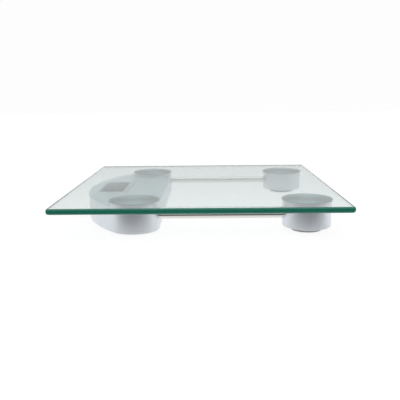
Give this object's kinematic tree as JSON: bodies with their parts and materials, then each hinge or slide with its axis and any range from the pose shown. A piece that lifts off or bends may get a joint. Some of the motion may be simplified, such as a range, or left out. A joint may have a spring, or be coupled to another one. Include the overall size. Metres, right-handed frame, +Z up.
{
  "type": "digital platform scale",
  "caption": "Square clear glass platform on round load-cell feet, with a bowed display unit at one end and steel wire tubes to the feet at the other.",
  "frame": {"origin": "on the floor under the middle of the square platform, at the bottom of the rubber pads", "axes": "+Z up, +Y towards the end with the display, +X to the right of a user who stands on the scale and reads the display"},
  "size_m": [0.304, 0.304, 0.0346],
  "materials": {
    "platform_glass": "clear tempered float glass with a green polished edge",
    "disc_steel": "circular brushed",
    "casing_plastic": "satin silver-white",
    "tube_chrome": "polished tube",
    "pad_rubber": "matt",
    "inner_plastic": "moulded",
    "cell_steel": "zinc plated",
    "gauge_silicone": "silicone over the strain gauges",
    "screw_steel": "zinc plated",
    "window_acrylic": "clear acrylic",
    "lcd_glass": "grey liquid-crystal display, off",
    "strip_rubber": "layered conductive rubber",
    "board_laminate": "solder-masked laminate",
    "chip_epoxy": "black epoxy",
    "component_ceramic": "ceramic body",
    "connector_nylon": "nylon",
    "lead_pvc": "PVC jacket",
    "coin_cell_steel": "nickel plated",
    "contact_nickel": "nickel-plated spring strip",
    "trim_grey": "grey"
  },
  "bodies": {
    "platform": {"glass_platform": "platform_glass", "disc_nuts": "screw_steel", "heel_cup_left": "casing_plastic", "heel_cup_right": "casing_plastic", "retainer_screws": "screw_steel", "gauge_covers": "gauge_silicone", "wire_tube_left": "tube_chrome", "wire_tube_right": "tube_chrome", "tube_rings": "screw_steel", "display_housing": "casing_plastic", "display_bottom_cover": "casing_plastic", "cover_screws": "screw_steel", "trim_bar": "trim_grey", "display_window": "window_acrylic", "lcd_panel": "lcd_glass", "lcd_holder": "inner_plastic", "zebra_strips": "strip_rubber", "circuit_board": "board_laminate", "board_screws": "screw_steel", "controller_chip": "chip_epoxy", "board_components": "component_ceramic", "lead_connectors": "connector_nylon", "unit_switch": "chip_epoxy", "coin_cell": "coin_cell_steel", "battery_side_contact": "contact_nickel", "battery_top_contact": "contact_nickel", "battery_lead_top": "lead_pvc", "battery_lead_side": "lead_pvc", "cell_lead_heel_left": "lead_pvc", "cell_lead_heel_right": "lead_pvc", "cell_lead_toe_left": "lead_pvc", "cell_lead_toe_right": "lead_pvc", "mounting_disc_toe_left": "disc_steel", "cell_retainer_toe_left": "inner_plastic", "load_cell_toe_left": "cell_steel", "mounting_disc_toe_right": "disc_steel", "cell_retainer_toe_right": "inner_plastic", "load_cell_toe_right": "cell_steel", "mounting_disc_heel_left": "disc_steel", "cell_retainer_heel_left": "inner_plastic", "load_cell_heel_left": "cell_steel", "mounting_disc_heel_right": "disc_steel", "cell_retainer_heel_right": "inner_plastic", "load_cell_heel_right": "cell_steel"},
    "battery_door": {"battery_door": "casing_plastic"},
    "unit_button": {"unit_button": "trim_grey", "switch_plunger": "inner_plastic"},
    "foot_toe_left": {"foot_plunger_toe_left": "inner_plastic", "foot_pad_toe_left": "pad_rubber"},
    "foot_toe_right": {"foot_plunger_toe_right": "inner_plastic", "foot_pad_toe_right": "pad_rubber"},
    "foot_heel_left": {"foot_plunger_heel_left": "inner_plastic", "foot_pad_heel_left": "pad_rubber"},
    "foot_heel_right": {"foot_plunger_heel_right": "inner_plastic", "foot_pad_heel_right": "pad_rubber"}
  },
  "joints": [
    {"name": "foot_toe_left_travel", "type": "slide", "parent": "platform", "child": "foot_toe_left", "axis": [0, 0, 1], "range_m": [0, 0.0005], "stiffness_N_per_m": 400000, "deforming": ["load_cell_toe_left"]},
    {"name": "foot_toe_right_travel", "type": "slide", "parent": "platform", "child": "foot_toe_right", "axis": [0, 0, 1], "range_m": [0, 0.0005], "stiffness_N_per_m": 400000, "deforming": ["load_cell_toe_right"]},
    {"name": "foot_heel_left_travel", "type": "slide", "parent": "platform", "child": "foot_heel_left", "axis": [0, 0, 1], "range_m": [0, 0.0005], "stiffness_N_per_m": 400000, "deforming": ["load_cell_heel_left"]},
    {"name": "foot_heel_right_travel", "type": "slide", "parent": "platform", "child": "foot_heel_right", "axis": [0, 0, 1], "range_m": [0, 0.0005], "stiffness_N_per_m": 400000, "deforming": ["load_cell_heel_right"]},
    {"name": "battery_door_turn", "type": "hinge", "parent": "platform", "child": "battery_door", "pos_m": [0, 0.066, 0.0015], "axis": [0, 0, 1], "range_deg": [0, 60]},
    {"name": "unit_button_press", "type": "slide", "parent": "platform", "child": "unit_button", "axis": [0, 0, 1], "range_m": [0, 0.0005], "stiffness_N_per_m": 3000}
  ]
}
